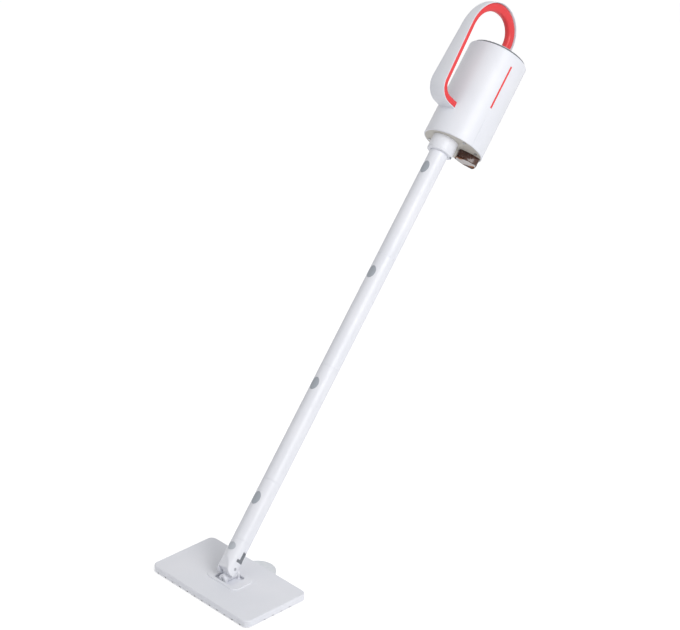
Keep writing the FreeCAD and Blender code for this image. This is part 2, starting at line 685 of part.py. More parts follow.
def seam_groove():
    """Fine parting line that runs up the housing from its lower edge, under the strip."""
    line = block(4, SEAM_WIDTH, BODY_BOTTOM - 1, BODY_BOTTOM + SEAM_HEIGHT, BODY_RADIUS, BODY_OFFSET)
    line = turned(line, STRIPE_TURN - 90, 0, BODY_OFFSET)
    return line.cut(body_cone(SEAM_DEPTH, BODY_BOTTOM - 1, BODY_TOP))


def make_outlet_nozzle():
    """Steam outlet with the spigot that plugs into the top tube."""
    low = COLLAR_BOTTOM
    spigot = latch_hole(ring(SPIGOT_RADIUS, SPIGOT_BORE, low - SPIGOT_LENGTH, low + WEB_THICKNESS), 4)
    web = ring(TUBE_RADIUS + 2.5, STEAM_PIPE_BORE, low + 0.1, low + WEB_THICKNESS)
    feed = ring(STEAM_PIPE_RADIUS, STEAM_PIPE_BORE, pipe_end(4), low + 1)
    stub = ring(OUTLET_RADIUS, STEAM_PIPE_BORE, low + 1, OUTLET_TOP)
    export("outlet_nozzle", joined([spigot, web, feed, stub]), WAND_PLACE)


def make_outlet_collar():
    """Round collar that covers the top joint, with a slight lip at its mouth."""
    collar = cylinder(COLLAR_RADIUS, COLLAR_BOTTOM, BODY_BOTTOM)
    collar = collar.makeFillet(2.0, edges_below(collar, COLLAR_BOTTOM))
    groove = ring(COLLAR_RADIUS + 1, COLLAR_RADIUS - 0.5, COLLAR_BOTTOM + 6, COLLAR_BOTTOM + 6.8)
    bore = cylinder(TUBE_RADIUS + 2.6, COLLAR_BOTTOM - 1, BODY_BOTTOM + 1)
    lip = ring(COLLAR_RADIUS - 2.2, TUBE_RADIUS + FIT_GAP, COLLAR_BOTTOM - 0.6, COLLAR_BOTTOM)
    export("outlet_collar", joined([collar.cut(groove).cut(bore), lip]), WAND_PLACE)


def tank_outline(grow, low, high):
    """Prism of the tank with two bowed sides, grown by a margin, between two heights."""
    inner, outer = TANK_INNER - grow, TANK_OUTER + grow
    past = outer + 10
    sides = []
    for side in (-1, 1):
        near, waist, far = [V(side * (half + grow), -reach, low) for half, reach in (
            (TANK_INNER_HALF, inner), (TANK_MIDDLE_HALF, (inner + outer) / 2), (TANK_OUTER_HALF, outer))]
        end = V(far.x, -past, low)
        sides.append([near, end])
        sides[-1].append([Part.Arc(near, waist, far).toShape(), Part.LineSegment(far, end).toShape()])
    edges = sides[0][2] + sides[1][2]
    edges += [Part.LineSegment(sides[0][end], sides[1][end]).toShape() for end in (0, 1)]
    prism = Part.Face(Part.Wire(Part.__sortEdges__(edges))).extrude(V(0, 0, high - low))
    inner_edges = [e for e in prism.Edges if is_upright(e) and abs(e.BoundBox.YMin + inner) < 0.01]
    prism = prism.makeFillet(TANK_INNER_CORNER, inner_edges).common(cylinder(outer, low, high))
    outer_edges = [e for e in prism.Edges if is_upright(e) and e.BoundBox.YMin < 12 - outer]
    prism = turned(prism.makeFillet(TANK_OUTER_CORNER, outer_edges), TANK_TURN)
    prism.translate(V(0, BODY_OFFSET, 0))
    return prism


def make_body_shell():
    """Round housing of the unit, open below, with a hole for the top cap."""
    shell = body_cone(0, BODY_BOTTOM, BODY_TOP)
    shell = shell.makeFillet(BODY_TOP_EDGE, edges_above(shell, BODY_TOP))
    shell = shell.makeFillet(BODY_BOTTOM_EDGE, edges_below(shell, BODY_BOTTOM))
    shell = shell.cut(body_cone(BODY_WALL, BODY_BOTTOM - 1, BODY_TOP - BODY_TOP_WALL))
    shell = shell.cut(cylinder(CAP_RADIUS + FIT_GAP, BODY_BOTTOM, BODY_TOP + 1, y=BODY_OFFSET))
    shell = shell.cut(stripe_box(FIT_GAP, 6).cut(body_cone(GROOVE_DEPTH, BODY_BOTTOM, BODY_TOP)))
    shell = shell.cut(seam_groove())
    shell = shell.cut(bar_y(GLAND_RADIUS - 2 + FIT_GAP, BODY_OFFSET + BODY_RADIUS - 10,
                            BODY_OFFSET + BODY_RADIUS + 10, 0, BODY_BOTTOM + GLAND_HEIGHT))
    export("body_shell", shell.removeSplitter(), WAND_PLACE)


def make_indicator_strip():
    strip = stripe_box(0, 6).cut(body_cone(GROOVE_DEPTH - FIT_GAP, BODY_BOTTOM, BODY_TOP))
    export("indicator_strip", strip.common(body_cone(-0.2, BODY_BOTTOM, BODY_TOP)), WAND_PLACE)


def make_body_base():
    """Bottom plate of the unit, with the openings for the nozzle and the tank."""
    low = BODY_BOTTOM
    plate = cylinder(BODY_RADIUS - BODY_WALL - 0.15, low + BASE_LIFT, FLOOR, y=BODY_OFFSET)
    plate = plate.cut(cylinder(OUTLET_RADIUS + FIT_GAP, low - 1, low + 10))
    plate = plate.cut(tank_outline(TANK_GAP, low - 1, low + 10))
    collar_seat = ring(COLLAR_RADIUS - 0.6, OUTLET_RADIUS + FIT_GAP, low + RUNNING_FIT, low + 0.6)
    export("body_base", joined([plate, collar_seat]), WAND_PLACE)


def make_top_cap():
    """Round lid that stands a little proud of the housing."""
    cap = cylinder(CAP_RADIUS, BODY_TOP - CAP_DEPTH, CAP_TOP, y=BODY_OFFSET)
    cap = cap.makeFillet(CAP_EDGE, edges_above(cap, CAP_TOP))
    hole = cylinder(POWER_BUTTON_RADIUS + JOINT_GAP, BODY_TOP - 5, CAP_TOP + 1, y=BUTTON_Y)
    export("top_cap", cap.cut(hole), WAND_PLACE)


def make_power_button():
    """Round push button in the lid, behind the handle's foot."""
    top = CAP_TOP + POWER_BUTTON_PROUD
    button = cylinder(POWER_BUTTON_RADIUS, BODY_TOP - 4.5, top, y=BUTTON_Y)
    button = button.makeFillet(0.8, edges_above(button, top))
    flange = cylinder(POWER_BUTTON_RADIUS + 1.5, BODY_TOP - 6.0, BODY_TOP - 4.3, y=BUTTON_Y)
    export("power_button", joined([button, flange]), WAND_PLACE)


def make_switch_block():
    """Push switch under the power button, on a bridge of the chassis."""
    low = BODY_TOP - SWITCH_DROP
    case = block(SWITCH_SIZE, SWITCH_SIZE, low, low + SWITCH_HEIGHT, y=BUTTON_Y)
    plunger = cylinder(2.5, low + SWITCH_HEIGHT - 1, BODY_TOP - 6.3 - POWER_BUTTON_TRAVEL, y=BUTTON_Y)
    export("power_switch", joined([case, plunger]), WAND_PLACE)


# ---- loop handle ---------------------------------------------------------------
def quarter(centre, reach, rise, toward_handle):
    """Quarter ellipse from the spring line up to the top of the loop."""
    axis = V(0, -reach if toward_handle else reach, 0)
    side, top = centre + axis, centre + V(0, 0, rise)
    if reach >= rise:
        oval = Part.Ellipse(side, top, centre)
        return Part.ArcOfEllipse(oval, 0, math.pi / 2).toShape()
    across = centre - axis
    oval = Part.Ellipse(top, across, centre)
    return Part.ArcOfEllipse(oval, -math.pi / 2, 0).toShape()


def loop_side(reach, rise, back_reach, bend, bottom):
    """Edges of one side of the loop, from the housing round to the lid."""
    front = at_body(LOOP_CENTRE, LOOP_SPRING_LINE - LOOP_FRONT_DROP)
    centre = at_body(LOOP_CENTRE, LOOP_SPRING_LINE)
    corner = at_body(reach - bend, bottom + bend)
    slant = bend * math.sqrt(0.5)
    arm_end = at_body(reach - bend, bottom)
    grip_end = at_body(reach, bottom + bend)
    spring = at_body(reach, LOOP_SPRING_LINE - LOOP_FRONT_DROP)
    back = at_body(LOOP_CENTRE - back_reach, LOOP_SPRING_LINE)
    foot = at_body(LOOP_CENTRE - back_reach, HANDLE_FOOT)
    return [Part.LineSegment(at_body(ARM_START, bottom), arm_end).toShape(),
            Part.Arc(arm_end, corner + V(0, -slant, -slant), grip_end).toShape(),
            Part.LineSegment(grip_end, spring).toShape(),
            quarter(front, reach - LOOP_CENTRE, rise + LOOP_FRONT_DROP, True),
            quarter(centre, back_reach, rise, False),
            Part.LineSegment(back, foot).toShape()]


def loop_region(outer, inner, half_width):
    """Solid between two sides of the loop."""
    starts = [side[0].Vertexes[0].Point for side in (outer, inner)]
    ends = [side[-1].Vertexes[-1].Point for side in (outer, inner)]
    edges = outer + inner + [Part.LineSegment(*starts).toShape(), Part.LineSegment(*ends).toShape()]
    face = Part.Face(Part.Wire(Part.__sortEdges__(edges)))
    solid = face.extrude(V(2 * half_width, 0, 0))
    solid.translate(V(-half_width, 0, 0))
    return solid


def width_mask(shrink):
    """Front outline of the loop: wide at the grip, narrower over the top."""
    wide, slim = GRIP_WIDTH / 2 - shrink, LOOP_WIDTH / 2 - shrink
    y = BODY_OFFSET - 140
    low, shoulder = BODY_BOTTOM + 20, BODY_BOTTOM + ARM_BOTTOM + ARM_BEND
    top = BODY_BOTTOM + LOOP_SPRING_LINE + LOOP_RISE - 12
    half = [(wide, low), (wide, shoulder), (slim, top), (slim, top + 40)]
    corners = [V(x, y, z) for x, z in half] + [V(-x, y, z) for x, z in reversed(half)]
    front = Part.Face(Part.makePolygon(corners + [corners[0]])).extrude(V(0, 140 - LOOP_CENTRE, 0))
    back = Part.makeBox(2 * slim, 120, BODY_HEIGHT + 100,
                        V(-slim, BODY_OFFSET - LOOP_CENTRE, BODY_BOTTOM + 60))
    return front.fuse(back)


def core_side(gap):
    """Side of the loop where the white shell meets the coloured lining."""
    return loop_side(GRIP_REACH - GRIP_SHELL - gap, LOOP_CORE_RISE - gap, CORE_BACK - gap,
                     ARM_BEND - GRIP_SHELL, ARM_BOTTOM + GRIP_SHELL + gap)


def make_handle():
    """Loop handle: white outer strap and a coloured lining inside it."""
    outer = loop_side(GRIP_REACH, LOOP_RISE, LOOP_BACK, ARM_BEND, ARM_BOTTOM)
    inner = loop_side(GRIP_REACH - GRIP_THICKNESS, LOOP_INNER_RISE, LOOP_INNER_BACK,
                      ARM_BEND - ARM_THICKNESS, ARM_BOTTOM + ARM_THICKNESS)
    housing = body_cone(-FIT_GAP, BODY_BOTTOM, BODY_TOP)
    half = GRIP_WIDTH / 2 + 1
    shell = loop_region(outer, core_side(0), half).common(width_mask(0)).cut(housing)
    lining = loop_region(core_side(FIT_GAP), inner, half).common(width_mask(LINING_INSET)).cut(housing)
    export("handle_shell", shell, WAND_PLACE)
    export("handle_lining", lining, WAND_PLACE)


def make_handle_screws():
    """Screws that hold the handle from inside the housing and the lid."""
    screws = []
    arm_height = ARM_BOTTOM + ARM_THICKNESS / 2 + GRIP_SHELL / 2
    for across in (-ARM_SCREW_SIDE, ARM_SCREW_SIDE):
        seat = at_body(BODY_RADIUS - BODY_WALL - 3.7, arm_height, across)
        screws.append(Part.makeCylinder(HANDLE_SCREW_RADIUS, HANDLE_SCREW_THICKNESS, seat, -ALONG_Y))
    foot = LOOP_CENTRE - (CORE_BACK + LOOP_INNER_BACK) / 2
    for across in (-FOOT_SCREW_SIDE, FOOT_SCREW_SIDE):
        seat = at_body(foot, BODY_HEIGHT - CAP_DEPTH - 0.2, across)
        screws.append(Part.makeCylinder(HANDLE_SCREW_RADIUS, HANDLE_SCREW_THICKNESS, seat, -UP))
    export("handle_screws", screws, WAND_PLACE)


# ---- inside the unit -----------------------------------------------------------
def tank_stub_place():
    """Centre of the tank's valve, in the wand frame."""
    turn = math.radians(TANK_TURN)
    return V(math.sin(turn) * TANK_STUB_REACH, BODY_OFFSET - math.cos(turn) * TANK_STUB_REACH, 0)


def make_chassis():
    """Upright frame plate that carries the boiler, the pump and the board."""
    stub = tank_stub_place()
    plate = Part.makeBox(2 * CHASSIS_HALF, CHASSIS_THICKNESS, BODY_TOP - CHASSIS_DROP - FLOOR,
                         V(-CHASSIS_HALF, CHASSIS_FACE, FLOOR))
    shelf = Part.makeBox(CHASSIS_HALF + SHELF_OVERHANG, SHELF_DEPTH, SHELF_THICKNESS,
                         V(-SHELF_OVERHANG, CHASSIS_FACE, SHELF_LOW))
    bridge = Part.makeBox(30, 50, 3, V(-15, CHASSIS_FACE, BODY_TOP - BRIDGE_DROP))
    frame = joined([plate, shelf, bridge])
    frame = frame.cut(cylinder(TANK_STUB + 1.5, SHELF_LOW - 1, SHELF_TOP + 1, stub.x, stub.y))
    frame = frame.common(body_cone(BODY_WALL + 0.3, BODY_BOTTOM, BODY_TOP))
    frame = frame.cut(tank_outline(TANK_GAP + 0.3, BODY_BOTTOM, BODY_BOTTOM + TANK_HEIGHT))
    export("chassis", frame, WAND_PLACE)


def make_boiler():
    """Boiler can with a flange at each end and a steam outlet below."""
    low, high = BOILER_LOW, BOILER_TOP
    can = cylinder(BOILER_RADIUS, low, high)
    flanges = [cylinder(BOILER_RADIUS + FLANGE_MARGIN, z, z + FLANGE_THICKNESS) for z in (low + 6, high - 10)]
    can = joined([can] + flanges)
    can = can.cut(cylinder(BOILER_RADIUS - BOILER_WALL, low + 3, high - 3))
    can = can.cut(cylinder(3.0, low - 1, low + 4))
    mount = Part.makeBox(16, CHASSIS_FACE - BOILER_RADIUS + FLANGE_MARGIN, 12,
                         V(-8, BOILER_RADIUS - FLANGE_MARGIN, low + 40))
    export("boiler", joined([can, mount]), WAND_PLACE)


def make_heater_terminals():
    export("heater_terminals", [block(TERMINAL_WIDTH, 0.8, BOILER_TOP, BOILER_TOP + 10, x=side * 10)
                                for side in (-1, 1)], WAND_PLACE)


def make_thermostat():
    can = cylinder(THERMOSTAT_RADIUS, BOILER_TOP, BOILER_TOP + 8, y=-8)
    tabs = block(4, 10, BOILER_TOP + 7, BOILER_TOP + 10, y=-8)
    export("thermostat", joined([can, tabs]), WAND_PLACE)


def make_steam_hose():
    """Short sleeve from the boiler down over the outlet's stub."""
    low, outer = OUTLET_TOP - 0.1, OUTLET_RADIUS + 2
    sleeve = ring(outer, OUTLET_RADIUS, low - 4, BOILER_LOW)
    throat = ring(outer, 3.0, low + 0.2, BOILER_LOW)
    export("steam_hose", joined([sleeve, throat]), WAND_PLACE)


def make_pump():
    """Small water pump: motor below, pump head above."""
    head_low = PUMP_LOW + PUMP_MOTOR
    head_top = head_low + PUMP_HEAD_HEIGHT
    pieces = [cylinder(PUMP_RADIUS, PUMP_LOW, head_low, PUMP_X, PUMP_Y),
              block(PUMP_HEAD, PUMP_HEAD, head_low, head_top, PUMP_X, PUMP_Y, corner=3)]
    for side in (-1, 1):
        pieces.append(cylinder(2.5, head_top - 1, PUMP_TOP, PUMP_X + side * PUMP_PORT_GAP, PUMP_Y))
    export("pump", joined(pieces), WAND_PLACE)


def make_pump_mounts():
    """Two rubber blocks between the chassis and the pump head."""
    low, depth = PUMP_LOW + PUMP_MOTOR + 2, PUMP_STANDOFF - PUMP_HEAD / 2
    mounts = [block(8, depth, low, low + 12, PUMP_X + side * 8, CHASSIS_BACK + depth / 2) for side in (-1, 1)]
    export("pump_mounts", mounts, WAND_PLACE)


def make_control_board():
    """Circuit board above the boiler, on two spacers from the chassis."""
    low, y = BODY_TOP - BOARD_DROP, CHASSIS_FACE - BOARD_STANDOFF
    pieces = [Part.makeBox(BOARD_WIDTH, BOARD_THICKNESS, BOARD_HEIGHT, V(-BOARD_WIDTH / 2, y, low)),
              Part.makeBox(18, 12, 16, V(-24, y - 12, low + 6)),
              Part.makeBox(14, 10, 14, V(4, y - 10, low + 24))]
    for side in (-1, 1):
        pieces.append(bar_y(2.5, y + BOARD_THICKNESS, CHASSIS_FACE, side * 24, low + BOARD_HEIGHT / 2))
    export("control_board", joined(pieces), WAND_PLACE)


def make_tank_dock():
    """Socket on the shelf that takes the tank's valve, with a hose stub above."""
    stub = tank_stub_place()
    outer = TANK_STUB + 3.5
    dock = joined([ring(outer, TANK_STUB + JOINT_GAP, SHELF_TOP, SHELF_TOP + 4, stub.x, stub.y),
                   cylinder(outer, SHELF_TOP + 4, SHELF_TOP + 6, stub.x, stub.y),
                   cylinder(2.5, SHELF_TOP + 5, SHELF_TOP + 12, stub.x, stub.y)])
    export("tank_dock", dock.cut(cylinder(1.2, SHELF_TOP + 3, SHELF_TOP + 13, stub.x, stub.y)), WAND_PLACE)


def make_hoses():
    """Water hoses: tank dock to pump, and pump to boiler."""
    stub = tank_stub_place()
    level = SHELF_TOP + 12.1
    suction_x = PUMP_X + PUMP_PORT_GAP
    export("suction_hose", hose([V(stub.x, stub.y, level), V(stub.x, stub.y, level + 10),
                                 V(suction_x, PUMP_Y, level + 10), V(suction_x, PUMP_Y, PUMP_TOP + 0.1)]),
           WAND_PLACE)
    delivery_x, wall_x = PUMP_X - PUMP_PORT_GAP, 9 - BODY_RADIUS
    entry = BOILER_LOW + 70
    export("pressure_hose", hose([V(delivery_x, PUMP_Y, PUMP_TOP + 0.1), V(delivery_x, PUMP_Y, PUMP_TOP + 16),
                                  V(wall_x, BODY_OFFSET + 4, PUMP_TOP + 16), V(wall_x + 2, 12, entry + 3),
                                  V(-BOILER_RADIUS - 14.5, 0, entry), V(-BOILER_RADIUS - 0.2, 0, entry)]),
           WAND_PLACE)


def make_cord_gland():
    """Gland low on the back of the unit, where a mains lead would enter."""
    outside = BODY_OFFSET + BODY_RADIUS
    z = BODY_BOTTOM + GLAND_HEIGHT
    gland = joined([bar_y(GLAND_RADIUS - 2, outside - 8, outside + GLAND_LENGTH, 0, z),
                    bar_y(GLAND_RADIUS, outside + 0.2, outside + 3.2, 0, z),
                    bar_y(GLAND_RADIUS, outside - 8, outside - 5, 0, z)])
    export("cord_gland", gland.cut(bar_y(GLAND_BORE, outside - 20, outside + 40, 0, z)), WAND_PLACE)


def make_base_screws():
    screws = []
    circle = BODY_RADIUS - 10.5
    for turn in (20, 200, 335):
        angle = math.radians(turn)
        screws.append(cylinder(3.0, BODY_BOTTOM - 1.4, BODY_BOTTOM + 0.15,
                               circle * math.cos(angle), BODY_OFFSET + circle * math.sin(angle)))
    export("base_screws", screws, WAND_PLACE)


# ---- water tank ----------------------------------------------------------------
def make_water_tank():
    """Pull-out tank: its foot stands below the unit, its mouth is at the top."""
    tank = tank_outline(0, TANK_LOW, TANK_TOP)
    tank = tank.makeFillet(TANK_FOOT_EDGE, edges_below(tank, TANK_LOW))
    tank = tank.cut(tank_outline(-TANK_WALL, TANK_LOW + TANK_WALL, TANK_TOP + 1))
    export("water_tank", tank, WAND_PLACE)


def make_tank_lid():
    """Lid with a plug that sits in the tank's mouth and a valve stub on top."""
    stub = tank_stub_place()
    lid = joined([tank_outline(0, TANK_TOP + 0.1, TANK_TOP + TANK_LID),
                  tank_outline(-TANK_WALL - FIT_GAP, TANK_TOP - 4, TANK_TOP + 1),
                  cylinder(TANK_STUB, TANK_TOP, TANK_TOP + TANK_STUB_RISE, stub.x, stub.y)])
    bore = cylinder(TANK_STUB_BORE, TANK_TOP - 5, TANK_TOP + TANK_STUB_RISE + 1, stub.x, stub.y)
    export("tank_lid", lid.cut(bore), WAND_PLACE)


make_pad()
make_hook_strips()
make_base_plate()
make_head_cover()
make_pod_cover()
make_steam_manifold()
make_joint_bracket()
make_tilt_pin()
make_head_screws()
make_joint_cross()
make_neck_fork()
make_lean_pin()
for number in range(1, 5):
    make_wand_tube(number, 4 - number)
    make_steam_pipe(number, 4 - number)
make_pipe_seals()
for number in range(1, 6):
    make_latch_button(number, 5 - number)
    make_latch_spring(number, 5 - number)
make_outlet_nozzle()
make_outlet_collar()
make_body_shell()
make_indicator_strip()
make_body_base()
make_top_cap()
make_power_button()
make_switch_block()
make_handle()
make_handle_screws()
make_chassis()
make_boiler()
make_heater_terminals()
make_thermostat()
make_steam_hose()
make_pump()
make_pump_mounts()
make_control_board()
make_tank_dock()
make_hoses()
make_cord_gland()
make_base_screws()
make_water_tank()
make_tank_lid()
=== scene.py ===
import bmesh
import bpy
import json
import math
from mathutils import Matrix, Vector


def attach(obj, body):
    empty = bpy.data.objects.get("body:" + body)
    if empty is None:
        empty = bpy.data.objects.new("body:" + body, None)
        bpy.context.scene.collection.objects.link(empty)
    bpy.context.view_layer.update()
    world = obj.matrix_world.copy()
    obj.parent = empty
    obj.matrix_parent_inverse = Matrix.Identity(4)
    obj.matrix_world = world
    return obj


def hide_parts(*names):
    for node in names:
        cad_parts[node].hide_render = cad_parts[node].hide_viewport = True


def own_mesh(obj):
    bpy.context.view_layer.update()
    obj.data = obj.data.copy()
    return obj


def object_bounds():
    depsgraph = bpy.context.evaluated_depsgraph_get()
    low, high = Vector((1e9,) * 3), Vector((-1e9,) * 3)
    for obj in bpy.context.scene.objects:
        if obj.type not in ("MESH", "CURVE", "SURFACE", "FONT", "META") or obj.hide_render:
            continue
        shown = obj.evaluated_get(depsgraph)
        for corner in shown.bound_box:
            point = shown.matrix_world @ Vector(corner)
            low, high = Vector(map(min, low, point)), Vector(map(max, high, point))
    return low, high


# Steam mop: a flat mopping head with a cloth pad, a two-way joint, a wand of four
# plug-together tubes and a round steam unit with a loop handle and a tinted tank.
# Lengths are metres. The head is drawn in the world frame, with +X along its long
# side. The wand and the unit are drawn upright in the wand's own frame, with +z up
# the wand and -y towards the handle, and are then leant back with the WAND matrix.

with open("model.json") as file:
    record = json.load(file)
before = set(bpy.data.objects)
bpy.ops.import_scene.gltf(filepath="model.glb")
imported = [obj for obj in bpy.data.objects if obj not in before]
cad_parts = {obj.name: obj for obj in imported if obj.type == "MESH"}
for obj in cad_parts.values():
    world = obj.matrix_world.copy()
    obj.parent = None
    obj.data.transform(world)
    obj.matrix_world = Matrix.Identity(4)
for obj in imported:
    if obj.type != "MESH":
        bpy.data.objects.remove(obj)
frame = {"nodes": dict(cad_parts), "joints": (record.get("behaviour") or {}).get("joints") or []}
cad_low, cad_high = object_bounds()
NODES = frame["nodes"]
JOINTS = {joint["name"]: joint for joint in frame["joints"]}
MM = 0.001

# ---- the wand's own frame, from its joints -------------------------------------
WAND_X = Vector(JOINTS["lean"]["axis"]).normalized()
WAND_Z = -Vector(JOINTS["tank_pull"]["axis"]).normalized()
WAND_Y = WAND_Z.cross(WAND_X)
WAND = Matrix((WAND_X, WAND_Y, WAND_Z)).transposed().to_4x4()
WAND.translation = Vector(JOINTS["lean"]["pos_m"])


def extent(places):
    """Lowest and highest corner of a box round some places."""
    low = Vector([min(place[axis] for place in places) for axis in range(3)])
    high = Vector([max(place[axis] for place in places) for axis in range(3)])
    return low, high


def wand_box(node):
    """Lowest and highest corner of a CAD node in the wand's upright frame."""
    upright = WAND.inverted()
    return extent([upright @ vertex.co for vertex in NODES[node].data.vertices])


# ---- sizes of the unit, from the frame ------------------------------------------
shell_low, shell_high = wand_box("body_shell")
BODY_Y = (shell_low.y + shell_high.y) / 2
BODY_RADIUS = (shell_high.x - shell_low.x) / 2
BODY_TOP = shell_high.z
strap_low, strap_high = wand_box("handle_shell")
lining_low, lining_high = wand_box("handle_lining")
GRIP_REACH = BODY_Y - strap_low.y
GRIP_HALF = (strap_high.x - strap_low.x) / 2
LOOP_TOP = strap_high.z
CORE_TOP = lining_high.z
FOOT_LEVEL = wand_box("top_cap")[1].z
ARM_LEVEL = strap_low.z

# ---- sizes of the loop handle ------------------------------------------------------
LOOP_CENTRE = 42 * MM
LOOP_HALF = 8.5 * MM
SPRING_LINE = BODY_TOP + 29 * MM
FRONT_DROP = 25 * MM
STRAP_BACK = 59.4 * MM
CORE_BACK = 58.0 * MM
LINING_BACK = 40 * MM
LINING_RISE = 36.5 * MM
STRAP_WALL = 1.6 * MM
LINING_INSET = 0.8 * MM
GRIP_THICKNESS = 11.5 * MM
ARM_BEND = 35 * MM
ARM_THICKNESS = 14 * MM
ARM_SINK = 3.5 * MM
CROWN_DROP = 12 * MM
LINING_ROUND = 6.4 * MM
GRIP_ROUND = 2.6 * MM


# ---- materials ------------------------------------------------------------------
def srgb(red, green, blue):
    """Colour given as it looks on a screen, 0 to 255, as the shader's linear value."""
    def linear(level):
        share = level / 255
        return share / 12.92 if share <= 0.04045 else ((share + 0.055) / 1.055) ** 2.4
    return (linear(red), linear(green), linear(blue), 1.0)


class Finish:
    """A material under construction: its nodes are added and linked by short calls."""

    def __init__(self, name, **sockets):
        self.material = bpy.data.materials.new(name)
        self.material.use_nodes = True
        self.tree = self.material.node_tree
        self.shader = self.tree.nodes["Principled BSDF"]
        for socket, value in sockets.items():
            self.shader.inputs[socket.replace("_", " ")].default_value = value
        self.place = self.tree.nodes.new("ShaderNodeTexCoord").outputs["Object"]

    def link(self, source, target):
        self.tree.links.new(source, target)

    def add(self, kind, **inputs):
        node = self.tree.nodes.new("ShaderNode" + kind)
        for socket, value in inputs.items():
            target = node.inputs[socket.replace("_", " ")]
            if isinstance(value, bpy.types.NodeSocket):
                self.link(value, target)
            else:
                target.default_value = value
        return node

    def turned(self, matrix, scale=(1, 1, 1)):
        """Object coordinates turned into another frame, for patterns that follow it."""
        turn = matrix.to_3x3().inverted().to_euler()
        mapping = self.add("Mapping", Vector=self.place, Rotation=turn, Scale=scale)
        return mapping.outputs["Vector"]

    def noise(self, scale, detail=2.0, roughness=0.5, place=None):
        node = self.add("TexNoise", Vector=place or self.place, Scale=scale, Detail=detail,
                        Roughness=roughness)
        return node.outputs["Fac"]

    def spread(self, value, low, high, start=0.3, end=0.7):
        """Map a noise value to a range."""
        node = self.add("MapRange", Value=value)
        for socket, number in zip(("From Min", "From Max", "To Min", "To Max"), (start, end, low, high)):
            node.inputs[socket].default_value = number
        return node.outputs["Result"]

    def mix(self, factor, first, second):
        node = self.tree.nodes.new("ShaderNodeMix")
        node.data_type = "RGBA"
        for socket, value in ((node.inputs[0], factor), (node.inputs[6], first), (node.inputs[7], second)):
            if isinstance(value, bpy.types.NodeSocket):
                self.link(value, socket)
            else:
                socket.default_value = value
        return node.outputs[2]

    def bump(self, height, distance, strength=1.0, over=None):
        node = self.add("Bump", Height=height, Distance=distance, Strength=strength)
        if over is not None:
            self.link(over, node.inputs["Normal"])
        return node.outputs["Normal"]

    def finish(self, colour=None, roughness=None, normal=None):
        for socket, value in (("Base Color", colour), ("Roughness", roughness), ("Normal", normal)):
            if value is not None:
                self.link(value, self.shader.inputs[socket])
        return self.material


def moulded(name, colour, shade, roughness=0.4, grain=1800.0, depth=0.00002, coat=0.0, cast=None):
    """Moulded plastic: slow colour drift, a fine spark-eroded grain and uneven gloss.

    cast is the colour that the piece casts on its neighbours, if it isn't its own."""
    surface = Finish(name, Coat_Weight=coat, Coat_Roughness=0.15)
    drift = surface.spread(surface.noise(9.0), 0.0, 1.0)
    tone = surface.mix(drift, colour, shade)
    if cast:
        bounced = surface.add("LightPath").outputs["Is Diffuse Ray"]
        tone = surface.mix(surface.spread(bounced, 0.0, 0.8, 0.0, 1.0), tone, cast)
    fine = surface.noise(grain, detail=1.0)
    broad = surface.noise(60.0, detail=3.0)
    gloss = surface.spread(broad, roughness - 0.05, roughness + 0.07)
    relief = surface.bump(fine, depth, over=surface.bump(broad, depth * 4))
    return surface.finish(tone, gloss, relief)


def brushed(name, colour, shade, roughness, metallic=1.0):
    """Turned or cast metal with fine uneven marks."""
    surface = Finish(name, Metallic=metallic)
    marks = surface.noise(700.0, detail=4.0)
    tone = surface.mix(surface.spread(marks, 0.0, 1.0), colour, shade)
    gloss = surface.spread(marks, roughness - 0.08, roughness + 0.1)
    return surface.finish(tone, gloss, surface.bump(marks, 0.00003))


def tinted_plastic(name, colour, shade, clear, gloss=0.6):
    """Clear brown plastic with faint flow lines."""
    surface = Finish(name, Transmission_Weight=clear, IOR=1.49, Roughness=0.75 - gloss,
                     Coat_Weight=gloss * 0.5, Coat_Roughness=0.08, Specular_IOR_Level=gloss * 0.8)
    flow = surface.noise(35.0, detail=3.0)
    tone = surface.mix(surface.spread(flow, 0.0, 1.0), colour, shade)
    return surface.finish(tone, None, surface.bump(flow, 0.0001))


def woven_cloth():
    """Microfibre: looped pile over a woven ground."""
    surface = Finish("pad_microfibre", Sheen_Weight=0.3, Sheen_Roughness=0.5, Roughness=0.95)
    pile = surface.add("TexVoronoi", Vector=surface.place, Scale=900.0).outputs["Distance"]
    clump = surface.noise(210.0, detail=3.0)
    tone = surface.mix(surface.spread(clump, 0.0, 1.0), srgb(240, 243, 246), srgb(228, 232, 237))
    relief = surface.bump(pile, 0.0003, over=surface.bump(clump, 0.00025))
    return surface.finish(tone, None, relief)


def hook_tape():
    """Hook fastener: a close field of little hooks."""
    surface = Finish("hook_tape", Roughness=0.8)
    hooks = surface.add("TexVoronoi", Vector=surface.place, Scale=1100.0).outputs["Distance"]
    tone = surface.mix(hooks, srgb(205, 208, 212), srgb(150, 154, 160))
    return surface.finish(tone, None, surface.bump(hooks, 0.0004))


def board_laminate():
    """Green circuit board with copper tracks under the lacquer."""
    surface = Finish("board_laminate", Roughness=0.35)
    tracks = surface.add("TexBrick", Vector=surface.turned(WAND), Scale=90.0)
    tone = surface.mix(tracks.outputs["Fac"], srgb(34, 92, 58), srgb(58, 128, 80))
    return surface.finish(tone, None, surface.bump(surface.noise(300.0), 0.00005))


